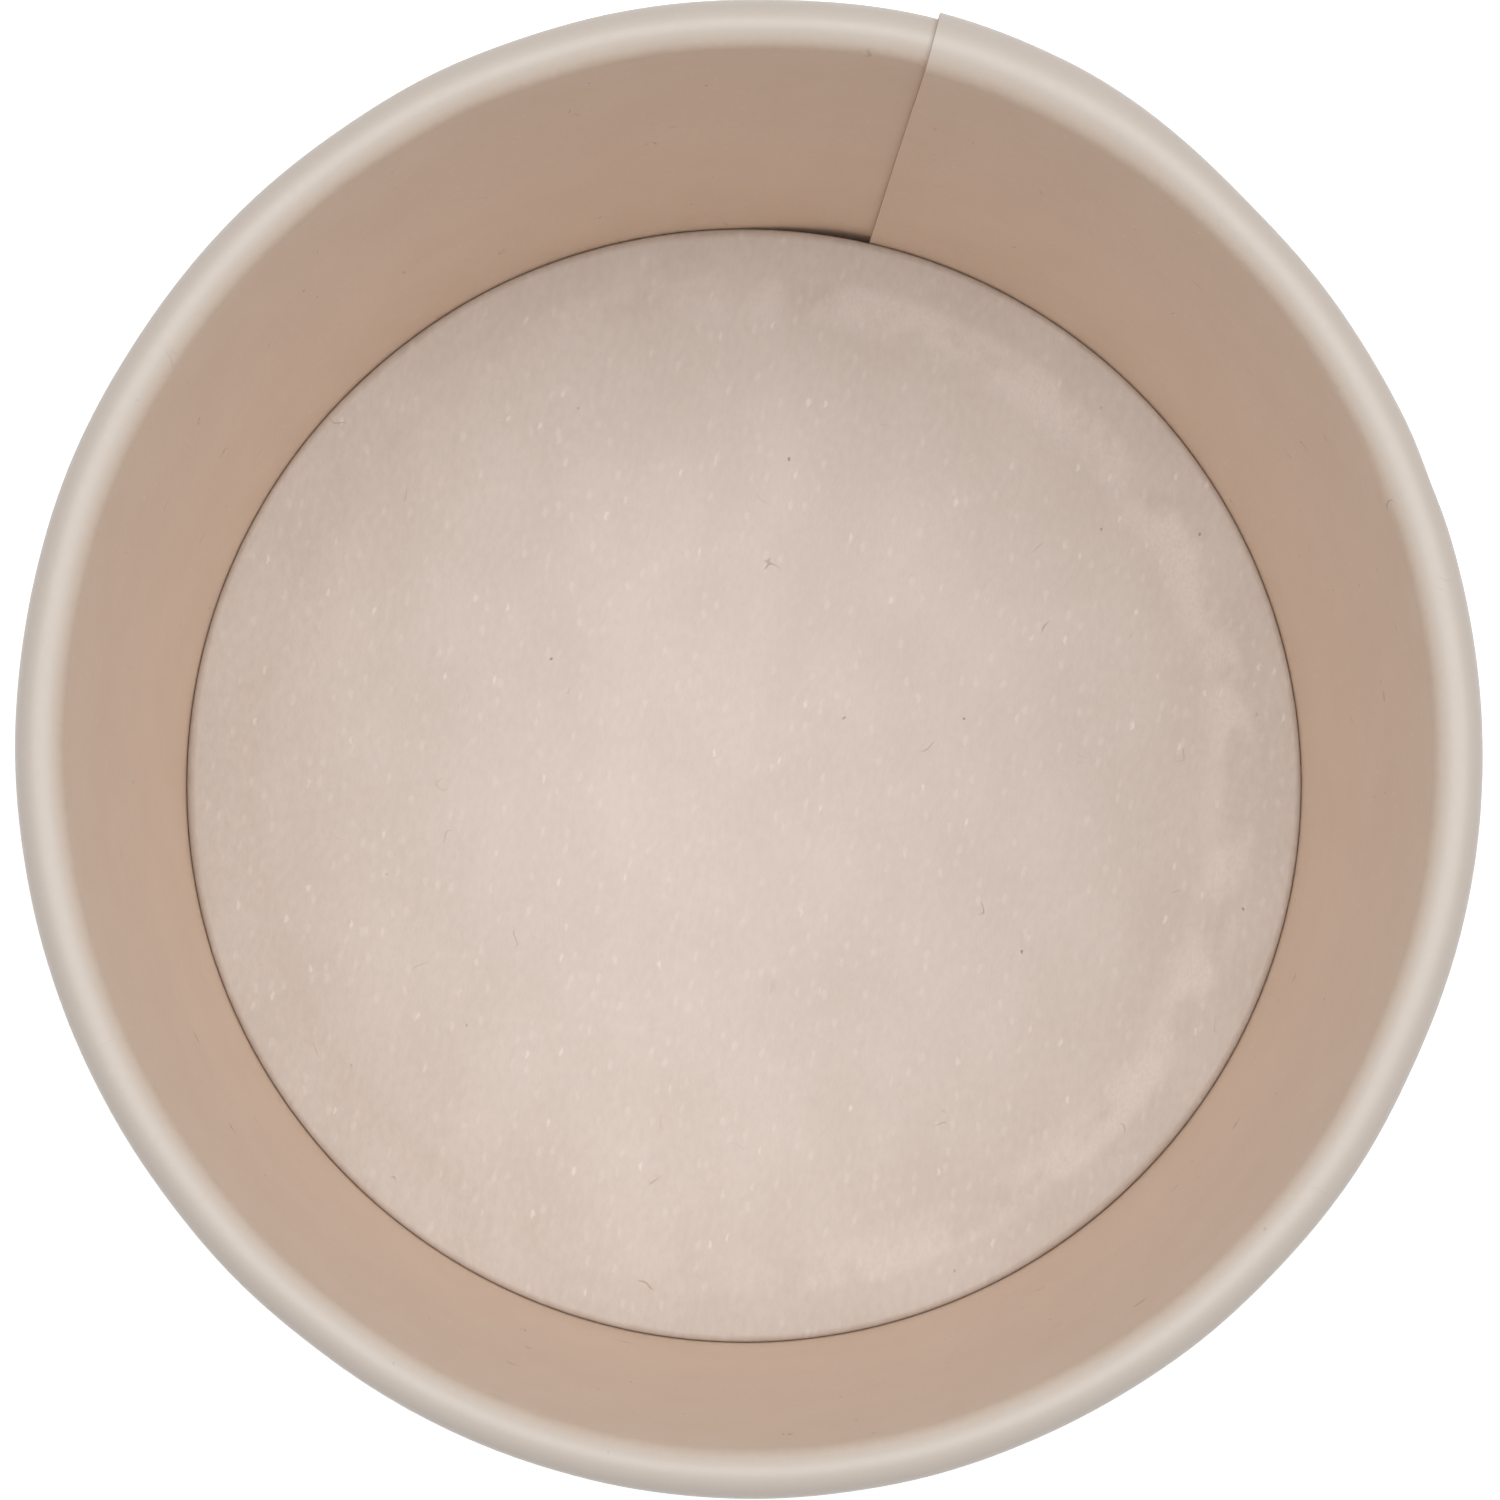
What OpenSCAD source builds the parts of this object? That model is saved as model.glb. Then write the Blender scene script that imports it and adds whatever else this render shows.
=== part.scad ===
// Paper soup cup, empty and open, standing on its base ring.
// One sheet of board is wrapped into a tapered wall, lapped and sealed down the side, rolled
// outwards at the rim and folded inwards at the base, where it grips the skirt of the bottom disc.
// Millimetres. The origin is the centre of the base plane, and +Z is up.

/* [Cup] */
// Outside diameter over the rolled rim
rim_d = 90; // [84:1:110]
// Outside diameter of the wall at the base
base_d = 75; // [62:1:78]
// Height from the base to the top of the rim
cup_h = 60; // [40:1:110]
// Height of the floor above the base
floor_h = 7; // [5:0.5:10]

/* [Board] */
// Thickness of the board of the side wall
wall_t = 0.4; // [0.3:0.05:0.45]
// Thickness of the board of the bottom disc
disc_t = 0.35; // [0.3:0.05:0.5]
// Seal line between the two layers of the lap
seal_t = 0.02; // [0.02:0.005:0.03]
// Room for the disc's skirt on each side, between the wall and its hem
seat_t = 0.04; // [0.04:0.01:0.1]

/* [Rim] */
// Width of the rolled rim
roll_d = 3.1; // [3.1:0.1:4]
// Air between the turns of the roll
roll_gap = 0.1; // [0.05:0.05:0.1]
// Turn of the end that is tucked inside the roll, past the first full turn
tuck_turn = 60; // [20:10:120]

/* [Side seam] */
// Direction of the raw edge inside the cup, seen from above
seam_angle = 76.5; // [0:0.5:360]
// Width of the lap where the sheet lies on itself
lap_w = 8; // [5:0.5:10]
// Length round the wall over which the sheet climbs out to lie over its other edge
climb_w = 12; // [8:1:14]
// Length round the wall over which the roll shrinks back past the lap
settle_w = 16; // [10:1:20]

/* [Base] */
// Flat width that the folded hem stands on
foot_w = 0.3; // [0.2:0.05:0.35]
// Distance from the raw edge of the hem up to the bend of the disc
hem_air = 0.4; // [0.2:0.1:1]
// Air between the lower edge of the skirt and the fold under it
skirt_air = 0.2; // [0.1:0.1:0.5]

/* [Bottom disc] */
// Bend radius between the floor and the skirt, at the middle of the board
bend_r = 0.5; // [0.4:0.1:1.2]
// Width of the flat margin between the bend and the slope
margin_w = 2; // [1:0.2:4]
// Width of the slope that lifts the middle of the floor
slope_w = 3.4; // [3:0.2:6]
// Height by which the middle of the floor stands over its margin
crown_h = 0.15; // [0.1:0.05:0.5]

/* [Hidden] */
$fn = 96;
board_colour = "#CFB79F";
floor_colour = "#D6C3B0";

// Largest turn in one step of a bend, and the steps in each swept stretch of the sheet
bend_step = 18;
lap_steps = 4;
climb_steps = 8;
settle_steps = 8;
// The swept stretches run this far into the plain one in degrees, and this far under its faces
knit_angle = 0.5;
knit_t = 0.01;
// Pitch of two layers of the sheet that lie on each other
lap_t = wall_t + seal_t;
// Radius of the first turn of the roll, at the middle of the board, and the centre of the roll
roll_r = (roll_d - wall_t) / 2;
roll_at = [rim_d / 2 - roll_d / 2, cup_h - roll_d / 2];
// Lean of the wall, for which it leaves the base at base_d and runs into the roll without a kink
reach = [roll_at.x - base_d / 2, roll_at.y];
taper = acos((roll_r - wall_t / 2) / norm(reach)) - atan2(reach.y, reach.x);
// The wall's middle meets the base plane at the foot, and runs up along one direction
foot = [base_d / 2 - wall_t / 2 / cos(taper), 0];
up = [sin(taper), cos(taper)];
inward = [-cos(taper), sin(taper)];
// Distance of the middle of the skirt and of the hem from the middle of the wall
skirt_in = wall_t / 2 + seat_t + disc_t / 2;
hem_in = wall_t + disc_t + 2 * seat_t;
// Bend radius of the fold at the base, at the middle of the board
fold_r = (hem_in - foot_w * cos(taper)) / 2;
// Heights of the disc's bend, of the raw edge of the hem and of the lower edge of the skirt
bend_h = floor_h - crown_h - disc_t / 2 - bend_r;
hem_h = bend_h - hem_air;
skirt_h = lap_t + wall_t + skirt_air;

// Angles that lengths take up round the wall
function round_angle(length) = length / (PI * rim_d) * 360;
lap_angle = round_angle(lap_w);
climb_angle = round_angle(climb_w);
settle_angle = round_angle(settle_w);

// A point that lies a distance up the wall, and a depth inwards from the wall's middle
function wall_point(along, depth) = foot + along * up + depth * inward;
// Distance up the wall at which a line of that depth reaches a height
function along_at(height, depth) = (height - depth * sin(taper)) / cos(taper);

// A path starts at a stop of [radius, height, heading] and goes on through moves. A move is
// [length, 0] for a straight, or [bend radius, turn] for a bend, in degrees to the left.
function ahead(at, length) = at + [length * cos(at[2]), length * sin(at[2]), 0];
function turned(at, r, turn) = at + [
    sign(turn) * r * (sin(at[2] + turn) - sin(at[2])),
    sign(turn) * r * (cos(at[2]) - cos(at[2] + turn)),
    turn
];
function stops(at, move) =
    move[1] == 0 ? [ahead(at, move[0])]
    : let (n = ceil(abs(move[1]) / bend_step)) [for (k = [1:n]) turned(at, move[0], move[1] * k / n)];
function walk(at, moves, k) =
    k == len(moves) ? []
    : let (passed = stops(at, moves[k])) concat(passed, walk(passed[len(passed) - 1], moves, k + 1));
function path_of(start, moves) = concat([start], walk(start, moves, 0));

// The outline of board of a given thickness along a path, its left side first
function beside(at, d) = [at.x - d * sin(at[2]), at.y + d * cos(at[2])];
function board_outline(path, t) = concat(
    [for (at = path) beside(at, t / 2)],
    [for (k = [len(path) - 1:-1:0]) beside(path[k], -t / 2)]
);

// The sheet's path from the raw edge of the hem, down, round the fold, up the wall and round the
// roll. over goes from 0 to 1 as the sheet moves out to lie over its other edge, and under goes
// from 0 to 1 as it makes room to lie inside it.
function sheet_path(over, under) = let (
    out = over * lap_t,
    r_fold = fold_r + out,
    fold_h = under * lap_t + wall_t / 2 + r_fold,
    hem_depth = hem_in + out,
    hem_top = along_at(hem_h, hem_depth),
    hem_end = along_at(fold_h, hem_depth - r_fold),
    wall_start = along_at(fold_h, r_fold - out),
    wall_end = (roll_at - foot) * up,
    r_roll = roll_r + under * lap_t,
    pitch = roll_gap + lap_t * (1 + over + under),
    edge = wall_point(hem_top, hem_depth)
) path_of([edge.x, edge.y, -90 - taper], [
    [hem_top - hem_end, 0],
    [r_fold, 90 + taper],
    [foot_w, 0],
    [r_fold, 90 - taper],
    [wall_end - wall_start, 0],
    [r_roll, -180],
    [r_roll - pitch / 2, -180],
    [r_roll - pitch, -tuck_turn]
]);

// Stations of [angle, over, under] round the cup, and those past the first in a stretch of them
outer_edge = [seam_angle - lap_angle, 1, 0];
lap_end = [seam_angle, 1, 0];
climbed = [seam_angle + climb_angle, 0, 0];
plain_end = [seam_angle - lap_angle - settle_angle, 0, 0];
settled = [seam_angle - lap_angle, 0, 1];
inner_edge = [seam_angle, 0, 1];
knit = [knit_angle, 0, 0];
function soft(x) = x * x * (3 - 2 * x);
function stretch(from, to, steps) = [
    for (k = [1:steps]) let (x = k / steps) [
        from[0] + (to[0] - from[0]) * x,
        from[1] + (to[1] - from[1]) * soft(x),
        from[2] + (to[2] - from[2]) * soft(x)
    ]
];

// The sheet swept through stations, in flat steps
module swept_sheet(stations) {
    rings = [for (s = stations) [
        for (p = board_outline(sheet_path(s[1], s[2]), wall_t - 2 * knit_t))
            [p.x * cos(s[0]), p.x * sin(s[0]), p.y]
    ]];
    n = len(rings[0]);
    last = (len(rings) - 1) * n;
    sides = [for (k = [0:len(rings) - 2], i = [0:n - 1]) [
        k * n + i, (k + 1) * n + i, (k + 1) * n + (i + 1) % n, k * n + (i + 1) % n
    ]];
    first_end = [for (i = [0:n / 2 - 2]) [i, i + 1, n - 2 - i, n - 1 - i]];
    last_end = [for (face = first_end) [for (k = [3:-1:0]) last + face[k]]];
    polyhedron([for (ring = rings) each ring], concat(first_end, sides, last_end), convexity = 12);
}

// The side wall is one sheet. It lies over its other end at the raw edge outside, climbs down to
// the plain wall, goes round the cup, and makes room again to end at the raw edge inside.
module side_wall() {
    color(board_colour) {
        swept_sheet(concat(
            [outer_edge],
            stretch(outer_edge, lap_end, lap_steps),
            stretch(lap_end, climbed, climb_steps),
            [climbed + knit]
        ));
        rotate_extrude(
            start = climbed[0] + knit_angle / 2,
            angle = 360 - (climbed[0] - plain_end[0] + knit_angle),
            convexity = 12
        ) polygon(board_outline(sheet_path(0, 0), wall_t));
        swept_sheet(concat(
            [plain_end - knit, plain_end],
            stretch(plain_end, settled, settle_steps),
            stretch(settled, inner_edge, lap_steps)
        ));
    }
}

// The bottom disc, pressed to a shallow pan whose skirt points down between the wall and its hem
module bottom_disc() {
    bend_depth = skirt_in + bend_r;
    bend_along = along_at(bend_h, bend_depth);
    slope_turn = 2 * atan(crown_h / slope_w);
    slope_r = slope_w / 2 / sin(slope_turn);
    path = path_of([0, floor_h - disc_t / 2, 0], [
        [wall_point(bend_along, bend_depth).x - margin_w - slope_w, 0],
        [slope_r, -slope_turn],
        [slope_r, slope_turn],
        [margin_w, 0],
        [bend_r, -90 - taper],
        [bend_along - along_at(skirt_h, skirt_in), 0]
    ]);
    color(floor_colour) rotate_extrude(convexity = 4) polygon(board_outline(path, disc_t));
}

side_wall();
bottom_disc();
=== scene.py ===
from math import acos, atan, atan2, cos, degrees, exp, hypot, pi, radians, sin, tan

import bmesh
import bpy
from mathutils import Matrix, Vector, noise


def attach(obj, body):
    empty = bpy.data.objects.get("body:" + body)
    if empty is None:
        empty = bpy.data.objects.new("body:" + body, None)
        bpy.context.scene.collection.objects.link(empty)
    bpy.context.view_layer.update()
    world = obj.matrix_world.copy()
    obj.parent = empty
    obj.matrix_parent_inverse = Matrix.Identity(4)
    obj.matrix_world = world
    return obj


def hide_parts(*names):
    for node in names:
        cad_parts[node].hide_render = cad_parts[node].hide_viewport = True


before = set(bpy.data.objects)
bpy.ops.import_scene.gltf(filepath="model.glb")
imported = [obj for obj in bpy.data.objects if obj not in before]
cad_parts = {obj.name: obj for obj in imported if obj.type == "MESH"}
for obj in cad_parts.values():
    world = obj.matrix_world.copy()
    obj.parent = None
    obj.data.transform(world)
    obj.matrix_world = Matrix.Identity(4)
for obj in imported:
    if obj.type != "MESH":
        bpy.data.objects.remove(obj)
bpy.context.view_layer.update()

# Side wall
# One sheet of kraft paperboard with a thin film on its inner face. It is wrapped into a tapered
# wall, lapped and heat-sealed down the side, rolled outwards at the rim with the film outside,
# and folded in and up at the base, where it grips the skirt of the bottom disc.
MM = 0.001
RIM_D, BASE_D, CUP_H, FLOOR_H = 90, 75, 60, 7
WALL_T, DISC_T, SEAL_T, SEAT_T = 0.4, 0.35, 0.02, 0.04
ROLL_D, ROLL_GAP, TUCK_TURN = 3.1, 0.1, 60
SEAM_ANGLE, LAP_W, CLIMB_W, SETTLE_W = 76.5, 8, 12, 16
FOOT_W, HEM_AIR, SKIRT_AIR = 0.3, 0.4, 0.2
BEND_R, CROWN_H = 0.5, 0.15
HEM_STEPS, FOLD_STEPS, WALL_STEPS = 6, 6, 38
TURN_STEPS, SECOND_STEPS, TUCK_STEPS = 20, 16, 5

LAP_T = WALL_T + SEAL_T
ROLL_R = (ROLL_D - WALL_T) / 2
ROLL_AT = Vector((RIM_D / 2 - ROLL_D / 2, CUP_H - ROLL_D / 2))
reach = ROLL_AT - Vector((BASE_D / 2, 0))
TAPER = acos((ROLL_R - WALL_T / 2) / reach.length) - atan2(reach.y, reach.x)
FOOT = Vector((BASE_D / 2 - WALL_T / 2 / cos(TAPER), 0))
UP = Vector((sin(TAPER), cos(TAPER)))
INWARD = Vector((-cos(TAPER), sin(TAPER)))
SKIRT_IN = WALL_T / 2 + SEAT_T + DISC_T / 2
HEM_IN = WALL_T + DISC_T + 2 * SEAT_T
FOLD_R = (HEM_IN - FOOT_W * cos(TAPER)) / 2
BEND_H = FLOOR_H - CROWN_H - DISC_T / 2 - BEND_R
LAP_ANGLE, CLIMB_ANGLE, SETTLE_ANGLE = (w / (pi * RIM_D) * 360 for w in (LAP_W, CLIMB_W, SETTLE_W))


def wall_point(along, depth):
    """The point a distance up the wall and a depth inwards from its middle, as (radius, height)."""
    return FOOT + along * UP + depth * INWARD


def along_at(height, depth):
    """The distance up the wall at which a line of that depth reaches a height."""
    return (height - depth * sin(TAPER)) / cos(TAPER)


def walk(start, heading, moves):
    """The stops of a path. A move is (length, 0, steps) ahead, or (radius, turn to the left, steps)."""
    stops, at = [start], start
    for size, turn, steps in moves:
        for _ in range(steps):
            if turn:
                side = size if turn > 0 else -size
                new = heading + turn / steps
                at = at + side * Vector((sin(new) - sin(heading), cos(heading) - cos(new)))
                heading = new
            else:
                at = at + size / steps * Vector((cos(heading), sin(heading)))
            stops.append(at)
    return stops


def sheet_path(over, under):
    """The sheet's middle from the raw edge of the hem, round the fold, up the wall and round the roll.
    over is 1 where the sheet lies over its other end, and under is 1 where it lies inside it."""
    out = over * LAP_T
    fold = FOLD_R + out
    fold_h = under * LAP_T + WALL_T / 2 + fold
    hem_depth = HEM_IN + out
    hem_top = along_at(BEND_H - HEM_AIR, hem_depth)
    hem_end = along_at(fold_h, hem_depth - fold)
    wall_start = along_at(fold_h, fold - out)
    roll = ROLL_R + under * LAP_T
    pitch = ROLL_GAP + LAP_T * (1 + over + under)
    return walk(wall_point(hem_top, hem_depth), -pi / 2 - TAPER, [
        (hem_top - hem_end, 0, HEM_STEPS),
        (fold, pi / 2 + TAPER, FOLD_STEPS),
        (FOOT_W, 0, 1),
        (fold, pi / 2 - TAPER, FOLD_STEPS),
        ((ROLL_AT - FOOT).dot(UP) - wall_start, 0, WALL_STEPS),
        (roll, -pi, TURN_STEPS),
        (roll - pitch / 2, -pi, SECOND_STEPS),
        (roll - pitch, -radians(TUCK_TURN), TUCK_STEPS),
    ])


def soft(x):
    """A smooth step from 0 to 1."""
    x = min(max(x, 0), 1)
    return x * x * (3 - 2 * x)


def near(x, centre, width):
    """A smooth bump of height 1."""
    return exp(-((x - centre) / width) ** 2)


# The waves round the rim, as (size in mm, number of waves, start): the first makes the mouth oval
WAVES = ((0.52, 2, 2.94), (0.05, 3, -2.9), (0.06, 4, 0.14))
RIPPLE, RIPPLE_TURN, RIPPLE_LENGTH = 0.10, 5, 25
DENT, DENT_ANGLE, DENT_TURN, DENT_H, DENT_W = 0.25, 22.5, 2.6, 57.6, 1.2


def push(angle, height):
    """How far the wall stands out from a true cone in mm: squeezed slightly oval at the rim, uneven
    by hand-sized waves, and with one small dent under the roll. The sealed floor holds it true."""
    free = soft((height - FLOOR_H) / (CUP_H - FLOOR_H))
    a = radians(angle)
    waves = sum(size * cos(number * a + start) for size, number, start in WAVES)
    spot = Vector((RIPPLE_TURN * cos(a), RIPPLE_TURN * sin(a), height / RIPPLE_LENGTH))
    ripple = RIPPLE * noise.noise(spot)
    dent = DENT * near(angle % 360, DENT_ANGLE, DENT_TURN) * near(height, DENT_H, DENT_W)
    return free * (waves + ripple) - dent


# The flat blank is a grid with its length round the cup and its width from hem to rim. Wrapping
# moves each of its points, and the blank's own map stays on it for the patterns of the board. The
# sheet is wrapped a little askew: turned by SKEW_START degrees at the floor, and SKEW back at the rim.
SKEW_START, SKEW = 0.44, 1.49
first_angle = SEAM_ANGLE - LAP_ANGLE
sheet_turn = 360 + LAP_ANGLE
COLUMNS = 300
plain_path = sheet_path(0, 0)
rows = len(plain_path) - 1
rises = [0]
for a, b in zip(plain_path, plain_path[1:]):
    rises.append(rises[-1] + (b - a).length)
SHEET_LENGTH = sheet_turn / 360 * pi * (RIM_D + BASE_D) / 2
SHEET_WIDTH = rises[-1]
ROLL_START = rises[-1 - TURN_STEPS - SECOND_STEPS - TUCK_STEPS]

paths = []
for column in range(COLUMNS + 1):
    angle = first_angle + sheet_turn * column / COLUMNS
    over = 1 - soft((angle - SEAM_ANGLE) / CLIMB_ANGLE)
    under = soft((angle - 360 - first_angle + SETTLE_ANGLE) / SETTLE_ANGLE)
    paths.append((angle, sheet_path(over, under)))

blank = bmesh.new()
bmesh.ops.create_grid(blank, x_segments=COLUMNS, y_segments=rows, size=0.5)
blank_map = blank.loops.layers.uv.new("blank")
for face in blank.faces:
    face.smooth = True
    for loop in face.loops:
        row = round((loop.vert.co.y + 0.5) * rows)
        loop[blank_map].uv = (loop.vert.co.x + 0.5, rises[row] / SHEET_WIDTH)
for vert in blank.verts:
    column, row = round((vert.co.x + 0.5) * COLUMNS), round((vert.co.y + 0.5) * rows)
    angle, path = paths[column]
    radius, height = path[row].x + push(angle, path[row].y), path[row].y
    turned = radians(angle + SKEW_START - SKEW * (height - FLOOR_H) / (CUP_H - FLOOR_H))
    vert.co = (radius * cos(turned) * MM, radius * sin(turned) * MM, height * MM)


EDGE_BEVEL, SHARP_ANGLE = 0.04, 50


def new_piece(name, shape, thickness):
    """The sheet's middle as a piece of board: its first face keeps material 0, and the other face
    and the cut edges take materials 1 and 2."""
    mesh = bpy.data.meshes.new(name)
    shape.to_mesh(mesh)
    shape.free()
    piece = bpy.data.objects.new(name, mesh)
    bpy.context.collection.objects.link(piece)
    board = piece.modifiers.new("board", "SOLIDIFY")
    board.thickness, board.offset = thickness * MM, 0
    board.use_even_offset = board.use_quality_normals = True
    board.material_offset, board.material_offset_rim = 1, 2
    edge = piece.modifiers.new("edge", "BEVEL")
    edge.width, edge.segments, edge.limit_method = EDGE_BEVEL * MM, 2, "ANGLE"
    edge.angle_limit, edge.harden_normals = radians(SHARP_ANGLE), True
    return piece


side_wall = new_piece("side_wall_board", blank, WALL_T)


def linear(colour):
    """An sRGB hex colour as a linear one."""
    parts = [int(colour[k:k + 2], 16) / 255 for k in (1, 3, 5)]
    return [c / 12.92 if c <= 0.04045 else ((c + 0.055) / 1.055) ** 2.4 for c in parts] + [1]


def node(tree, kind, inputs={}, out=0, **settings):
    """Adds a shader node with its settings, fills its inputs with values or links, and gives one of
    its outputs."""
    made = tree.nodes.new("ShaderNode" + kind)
    for name, value in settings.items():
        setattr(made, name, value)
    for name, value in inputs.items():
        if isinstance(value, bpy.types.NodeSocket):
            tree.links.new(value, made.inputs[name])
        else:
            made.inputs[name].default_value = value
    return made.outputs[out] if made.outputs else made


def clear_material(name):
    """A material with no nodes yet, and its tree."""
    material = bpy.data.materials.new(name)
    material.use_nodes = True
    material.node_tree.nodes.clear()
    return material, material.node_tree


TOOTH_H = 0.04


def kraft_board(name, place_of, base, shade, fleck_share, roughness, coat, grain, wear_and_painted_light=None):
    """Kraft paperboard, brown wood pulp pressed to a sheet. It has faint clouds and a fine mottle of
    tone, short pale flecks along the run of the machine, partly pale fibres and partly painted glints,
    and a few brown hairs and specks. The film on its inner face gives it a satin gloss, and the plain
    face is matt."""
    material, tree = clear_material(name)
    place = place_of(tree)
    # Clouds, mottle and the tooth of the surface, with their sizes in mm across and along the fibres
    tones = []
    for across, along, detail in ((6, 9, 2), (0.5, 0.9, 3), (0.16, 0.3, 2), (2.4, 2.4, 1)):
        cells = node(tree, "VectorMath", {0: place, 1: (1 / across, 1 / along, 0)}, operation="MULTIPLY")
        tones.append(node(tree, "TexNoise", {"Vector": cells, "Scale": 1, "Detail": detail},
                          noise_dimensions="2D"))
    clouds, mottle, tooth, bends = tones
    tone = node(tree, "MixRGB", {"Fac": 0.55, "Color1": clouds, "Color2": mottle})
    tone = node(tree, "MapRange", {"Value": tone, "From Min": 0.35, "From Max": 0.65})
    colour = node(tree, "MixRGB", {"Fac": tone, "Color1": linear(shade), "Color2": linear(base)})
    # The hairs are short curved stretches, drawn where a noise crosses its middle value
    off = node(tree, "Math", {0: bends, 1: 0.5}, operation="SUBTRACT")
    off = node(tree, "Math", {0: off}, operation="ABSOLUTE")
    bend = node(tree, "MapRange", {"Value": off, "From Min": 0.02, "From Max": 0.006},
                interpolation_type="SMOOTHSTEP")
    # The fibres lie unevenly, so their cells are bent by up to 0.15 mm
    bent = node(tree, "TexNoise", {"Vector": place, "Scale": 2.2, "Detail": 1}, "Color",
                noise_dimensions="2D")
    bent = node(tree, "VectorMath", {0: bent, 1: (0.3, 0.3, 0), 2: place}, operation="MULTIPLY_ADD")
    # Spots with the size of their cells in mm, their radius in a cell, the share of the cells that
    # have one, and their strength and colour
    for across, along, radius, share, strength, tint, within in (
        # The two pale rows are partly pale fibres and partly painted glints of light off the film
        (1.1, 2.6, 0.15, 0.34 * fleck_share, 0.42, "#F4EFEB", 1),
        (0.9, 1.9, 0.26, 1.5 * fleck_share, 0.16, "#F4EFEB", 1),
        (6.0, 6.0, 0.13, 0.4, 0.5, "#8A6A4E", bend),
        (7.0, 9.0, 0.018, 0.3, 0.7, "#6E5038", 1),
    ):
        cells = node(tree, "VectorMath", {0: bent, 1: (1 / across, 1 / along, 0)}, operation="MULTIPLY")
        gap = node(tree, "TexVoronoi", {"Vector": cells, "Scale": 1}, "Distance",
                   voronoi_dimensions="2D")
        spot = node(tree, "MapRange", {"Value": gap, "From Min": radius, "From Max": radius * 0.35,
                                       "To Max": strength}, interpolation_type="SMOOTHSTEP")
        lot = node(tree, "SeparateColor", {0: gap.node.outputs["Color"]})
        drawn = node(tree, "MapRange", {"Value": lot, "From Min": 1 - share,
                                        "From Max": 1 - share * 0.3})
        amount = node(tree, "Math", {0: spot, 1: drawn}, operation="MULTIPLY")
        amount = node(tree, "Math", {0: amount, 1: within}, operation="MULTIPLY")
        colour = node(tree, "MixRGB", {"Fac": amount, "Color1": colour, "Color2": linear(tint)})
    height = node(tree, "Math", {0: tooth, 1: mottle}, operation="ADD")
    bump = node(tree, "Bump", {"Height": height, "Strength": grain, "Distance": TOOTH_H * MM})
    gloss = node(tree, "MapRange", {"Value": mottle, "From Min": 0.3, "From Max": 0.7,
                                    "To Min": roughness - 0.05, "To Max": roughness + 0.05})
    # The extra marks: real streaks and gloss, with a painted sheen or painted highlight
    if wear_and_painted_light:
        colour, gloss = wear_and_painted_light(tree, place, colour, gloss)
    shader = node(tree, "BsdfPrincipled", {"Base Color": colour, "Roughness": gloss, "IOR": 1.5,
                                           "Coat Weight": coat, "Coat Roughness": 0.55, "Normal": bump})
    node(tree, "OutputMaterial", {"Surface": shader})
    return material


def on_blank(tree):
    """Places on the flat blank in mm, with the fibres running up the wall."""
    blank_map = node(tree, "UVMap", uv_map="blank")
    return node(tree, "VectorMath", {0: blank_map, 1: (SHEET_LENGTH, SHEET_WIDTH, 1)},
                operation="MULTIPLY")


def streaks_and_painted_rim_sheen(tree, place, colour, gloss):
    """Faint pale streaks run round the wall where the film was drawn over the board, each about
    26 mm long and 0.8 mm wide. The rim gets a painted sheen: a greyer, paler tone that stands in
    for light reflected off the film on the roll, and sets in over 2.4 mm at the start of the roll."""
    cells = node(tree, "VectorMath", {0: place, 1: (1 / 26, 1 / 0.8, 0)}, operation="MULTIPLY")
    drawn = node(tree, "TexNoise", {"Vector": cells, "Scale": 1, "Detail": 3}, noise_dimensions="2D")
    streaks = node(tree, "MapRange", {"Value": drawn, "From Min": 0.5, "From Max": 0.75, "To Max": 0.14},
                   interpolation_type="SMOOTHSTEP")
    along = node(tree, "SeparateXYZ", {0: place}, "Y")
    # Painted sheen: the rim's greyer tone stands in for light reflected off the film on the roll
    rim_sheen_mask = node(tree, "MapRange", {"Value": along, "From Min": ROLL_START - 0.4, "To Max": 0.85,
                                       "From Max": ROLL_START + 2.0}, interpolation_type="SMOOTHSTEP")
    for amount, tint in ((streaks, "#E6D8CA"), (rim_sheen_mask, "#C7BDB4")):
        colour = node(tree, "MixRGB", {"Fac": amount, "Color1": colour, "Color2": linear(tint)})
    return colour, gloss


def cut_edge(name):
    """The cut edge of the board: bare pulp, fuzzy and matt, a little darker than its faces."""
    material, tree = clear_material(name)
    fuzz = node(tree, "TexNoise", {"Vector": node(tree, "TexCoord", out="Object"), "Scale": 6 / MM})
    colour = node(tree, "MixRGB", {"Fac": fuzz, "Color1": linear("#A98B6E"),
                                   "Color2": linear("#C9AF96")})
    bump = node(tree, "Bump", {"Height": fuzz, "Strength": 0.4, "Distance": TOOTH_H * MM})
    shader = node(tree, "BsdfPrincipled", {"Base Color": colour, "Roughness": 0.9, "IOR": 1.5,
                                           "Normal": bump})
    node(tree, "OutputMaterial", {"Surface": shader})
    return material


# Uncoated kraft board, only pressed between rollers: warm brown and matt, with a dry tooth
plain_kraft = kraft_board("uncoated_kraft_board", on_blank, "#CFB398", "#C8AB8E", fleck_share=0.10,
                          roughness=0.82, coat=0.0, grain=0.5)
# Kraft board with a thin film melted on: paler and smooth, with a satin sheen at low angles,
# and a painted sheen greying its roll
lined_kraft = kraft_board("film_lined_kraft_board", on_blank, "#EBD6C2", "#E6CFBA", fleck_share=0.08,
                          roughness=0.45, coat=0.7, grain=0.2, wear_and_painted_light=streaks_and_painted_rim_sheen)
raw_edge = cut_edge("cut_kraft_edge")
for material in (plain_kraft, lined_kraft, raw_edge):
    side_wall.data.materials.append(material)
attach(side_wall, "root")
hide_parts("side_wall")

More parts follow.
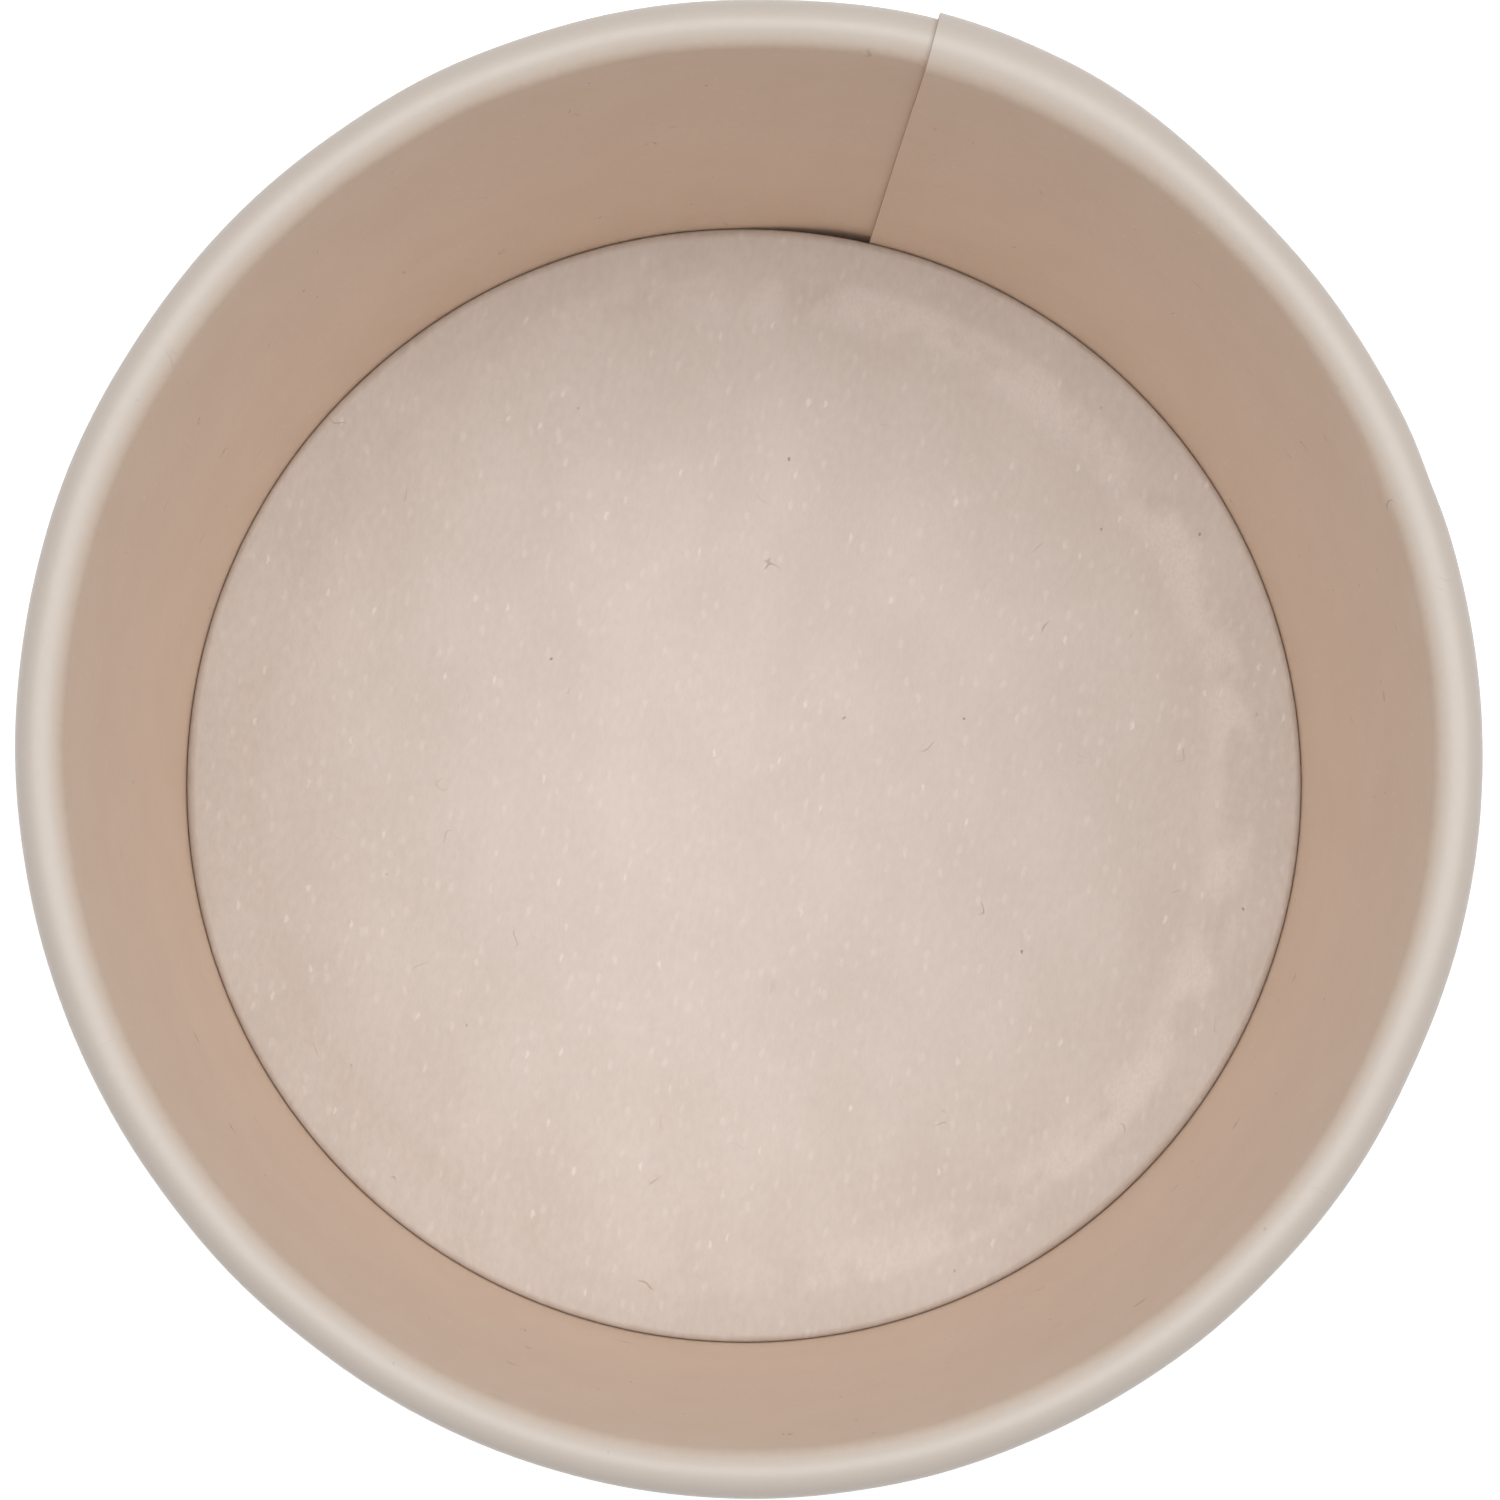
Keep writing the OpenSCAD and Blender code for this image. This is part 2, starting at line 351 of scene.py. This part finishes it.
# Bottom disc
# A round of the same lined board, pressed to a shallow upside-down pan. The middle of its panel is
# raised on a slope, and its skirt is heat-sealed between the wall and the hem.
MARGIN_W, SLOPE_W = 2, 3.4
BEND_STEPS, SKIRT_STEPS = 12, 4
slope_turn = 2 * atan(CROWN_H / SLOPE_W)
slope_r = SLOPE_W / 2 / sin(slope_turn)
bend_depth = SKIRT_IN + BEND_R
bend_along = along_at(BEND_H, bend_depth)
bend_x = wall_point(bend_along, bend_depth).x
skirt_end = along_at(LAP_T + WALL_T + SKIRT_AIR, SKIRT_IN)
disc_path = walk(Vector((0, FLOOR_H - DISC_T / 2)), 0, [
    (bend_x - MARGIN_W - SLOPE_W, 0, 16),
    (slope_r, -slope_turn, 5),
    (slope_r, slope_turn, 5),
    (MARGIN_W, 0, 3),
    (BEND_R, -pi / 2 - TAPER, BEND_STEPS),
    (bend_along - skirt_end, 0, SKIRT_STEPS),
])
bend_low = disc_path[-1 - SKIRT_STEPS].y - 0.001
margin_h = FLOOR_H - CROWN_H - DISC_T / 2
bend_corner = bend_x + BEND_R * tan((pi / 2 + TAPER) / 2)
# The bend is pressed tighter than its radius, except round a few directions, each with its width
PRESSED, LOOSE_AT = 0.58, ((90, 24), (180, 12), (315, 16), (130, 8))
# The panel is warped by this height in waves of this length, which fade out past this radius
WARP, WARP_LENGTH, WARP_END, WARP_FADE = 0.10, 16, 30, 5
PAN_TURNS, WELD_DIST = 240, 0.00001
pan = bmesh.new()
stops = [pan.verts.new((p.x * MM, 0, p.y * MM)) for p in disc_path]
for a, b in zip(stops, stops[1:]):
    pan.edges.new((a, b))
bmesh.ops.spin(pan, geom=pan.verts[:] + pan.edges[:], cent=(0, 0, 0), axis=(0, 0, 1),
               angle=2 * pi, steps=PAN_TURNS, use_merge=True)
bmesh.ops.remove_doubles(pan, verts=pan.verts[:], dist=WELD_DIST)
bmesh.ops.recalc_face_normals(pan, faces=pan.faces[:])
for vert in pan.verts:
    x, y = vert.co.x / MM, vert.co.y / MM
    flat = 1 - soft((hypot(x, y) - WARP_END) / WARP_FADE)
    vert.co.z += WARP * flat * noise.noise(Vector((x / WARP_LENGTH, y / WARP_LENGTH, 3.7))) * MM
    if hypot(x, y) > bend_x - 0.01 and vert.co.z / MM > bend_low:
        angle = degrees(atan2(y, x)) % 360
        loose = sum(near(angle, centre, width) for centre, width in LOOSE_AT)
        bend = min(PRESSED + (1 - PRESSED) * loose, 1)
        corner = Vector((x, y)).normalized() * bend_corner
        new = corner + bend * (Vector((x, y)) - corner)
        lift = (1 - bend) * (margin_h - vert.co.z / MM)
        vert.co = (new.x * MM, new.y * MM, vert.co.z + lift * MM)
for face in pan.faces:
    face.smooth = True
bottom_disc = new_piece("bottom_disc_board", pan, DISC_T)


FIBRE_TURN = 10


def on_disc(tree):
    """Places on the disc in mm, turned so that the fibres lie a little off the cup's Y axis."""
    return node(tree, "Mapping", {"Vector": node(tree, "TexCoord", out="Object"),
                                  "Rotation": (0, 0, radians(FIBRE_TURN)),
                                  "Scale": (1 / MM, 1 / MM, 1 / MM)})


# The ring's radius in mm, the way to the side of its strongest painted highlight, and its strength there
RING_R, HIGHLIGHT_X, HIGHLIGHT_Y, HIGHLIGHT_WHITE = 33, 0.95, 0.2, 0.5


def ring_with_painted_highlight(tree, place, colour, gloss):
    """The film is glossier in a ring where it was pressed to the slope, and the ring is whitened by
    a painted highlight, the reflection of the soft box, most of all on the right, in soft patches of
    fine specks. Its radii and the sizes of its patches are in mm."""
    spot = node(tree, "TexCoord", out="Object")
    flat = node(tree, "VectorMath", {0: spot, 1: (1 / MM, 1 / MM, 0)}, operation="MULTIPLY")
    radius = node(tree, "VectorMath", {0: flat}, "Value", operation="LENGTH")
    side = node(tree, "VectorMath", {0: flat, 1: (HIGHLIGHT_X / RING_R, HIGHLIGHT_Y / RING_R, 0)}, "Value",
                operation="DOT_PRODUCT")
    factors = [
        node(tree, "MapRange", {"Value": value, "From Min": low, "From Max": high},
             interpolation_type="SMOOTHSTEP")
        for value, low, high in ((radius, 30.5, 33.2), (radius, 35.0, 33.8), (side, -1.1, 1.0))
    ]
    for across, along, detail, low, high in ((3.5, 4.5, 3, 0.30, 0.60), (0.22, 0.3, 2, -0.35, 0.85)):
        cells = node(tree, "VectorMath", {0: place, 1: (1 / across, 1 / along, 0)}, operation="MULTIPLY")
        patches = node(tree, "TexNoise", {"Vector": cells, "Scale": 1, "Detail": detail},
                       noise_dimensions="2D")
        factors.append(node(tree, "MapRange", {"Value": patches, "From Min": low, "From Max": high},
                            interpolation_type="SMOOTHSTEP"))
    white = HIGHLIGHT_WHITE
    for factor in factors:
        white = node(tree, "Math", {0: white, 1: factor}, operation="MULTIPLY")
    # Painted highlight: the ring is whitened where the soft box would be reflected
    colour = node(tree, "MixRGB", {"Fac": white, "Color1": colour, "Color2": linear("#F1E9E6")})
    return colour, node(tree, "Math", {0: white, 1: -0.2, 2: gloss}, operation="MULTIPLY_ADD")


# The disc's board has the same film, with more pale flecks showing and less sheen from its coat.
# Its paler, greyer colour than the wall's is a painted sheen, the soft box reflected in the film
disc_lined_painted_sheen = kraft_board("film_lined_disc_board_painted_sheen", on_disc, "#D5CBC4", "#CDC2BA", fleck_share=0.30,
                         roughness=0.50, coat=0.2, grain=0.25, wear_and_painted_light=ring_with_painted_highlight)
# Its lower face is uncoated: warm brown and matt, as the cup's outside
disc_plain = kraft_board("uncoated_disc_board", on_disc, "#CFB398", "#C8AB8E", fleck_share=0.10,
                         roughness=0.82, coat=0.0, grain=0.5)
for material in (disc_lined_painted_sheen, disc_plain, raw_edge):
    bottom_disc.data.materials.append(material)
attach(bottom_disc, "root")
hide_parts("bottom_disc")

# Table and light
# The cup stands on a white table under a wide soft box that hangs over it, a little to its far side.
ROOM_LIGHT, TABLE_HALF, TABLE_GLOW = 0.28, 3, 0.65
BOX_W, BOX_D, BOX_AT, BOX_RADIANCE = 1.4, 0.6, (0.10, 0.12, 0.95), 3.0
table_shape = bmesh.new()
bmesh.ops.create_grid(table_shape, x_segments=1, y_segments=1, size=TABLE_HALF)
table_mesh = bpy.data.meshes.new("table")
table_shape.to_mesh(table_mesh)
table_shape.free()
table = bpy.data.objects.new("table", table_mesh)
bpy.context.collection.objects.link(table)


def background_share(tree):
    """1 for a ray that shows the background to the eye, straight or in gloss, and 0 for lighting."""
    share = node(tree, "LightPath", out="Is Camera Ray")
    rays = share.node.outputs
    for ray in ("Is Glossy Ray", "Is Transmission Ray"):
        share = node(tree, "Math", {0: share, 1: rays[ray]}, operation="MAXIMUM")
    return share


# White laminate: plain and matt, and where it is seen it is lifted to white, with the cup's shadow
white_table, tree = clear_material("white_laminate_table")
matt = node(tree, "BsdfDiffuse", {"Color": linear("#E7E7E7")})
glow = node(tree, "MapRange", {"Value": background_share(tree), "To Max": TABLE_GLOW})
glow = node(tree, "Emission", {"Color": linear("#FFFFFF"), "Strength": glow})
node(tree, "OutputMaterial", {"Surface": node(tree, "AddShader", {0: matt, 1: glow})})
table.data.materials.append(white_table)

world = bpy.data.worlds.new("white_room")
world.use_nodes = True
tree = world.node_tree
tree.nodes.clear()
level = node(tree, "MapRange", {"Value": background_share(tree), "To Min": ROOM_LIGHT, "To Max": 1.0})
node(tree, "OutputWorld", {"Surface": node(tree, "Background", {"Color": linear("#FFFFFF"),
                                                                "Strength": level})})
bpy.context.scene.world = world

lamp = bpy.data.lights.new("soft_box", "AREA")
lamp.shape, lamp.size, lamp.size_y = "RECTANGLE", BOX_W, BOX_D
lamp.energy = BOX_RADIANCE * pi * BOX_W * BOX_D
soft_box = bpy.data.objects.new("soft_box", lamp)
bpy.context.collection.objects.link(soft_box)
soft_box.location = BOX_AT

# Camera
# It looks down into the cup from above its near side, as the photograph does, with +Y up.
# The lens and the sensor's width are in mm
CAMERA_AT, AIM = Vector((-0.0036, -0.0229, 0.5289)), Vector((0, -0.00025, 0.0585))
LENS, SENSOR = 186.1, 36
camera_data = bpy.data.cameras.new("camera")
camera_data.lens, camera_data.sensor_width = LENS, SENSOR
camera = bpy.data.objects.new("camera", camera_data)
bpy.context.collection.objects.link(camera)
back = (CAMERA_AT - AIM).normalized()
right = Vector((0, 1, 0)).cross(back).normalized()
turn = Matrix((right, back.cross(right), back)).transposed().to_4x4()
camera.matrix_world = Matrix.Translation(CAMERA_AT) @ turn
bpy.context.scene.camera = camera
bpy.context.scene.view_settings.view_transform = "Standard"
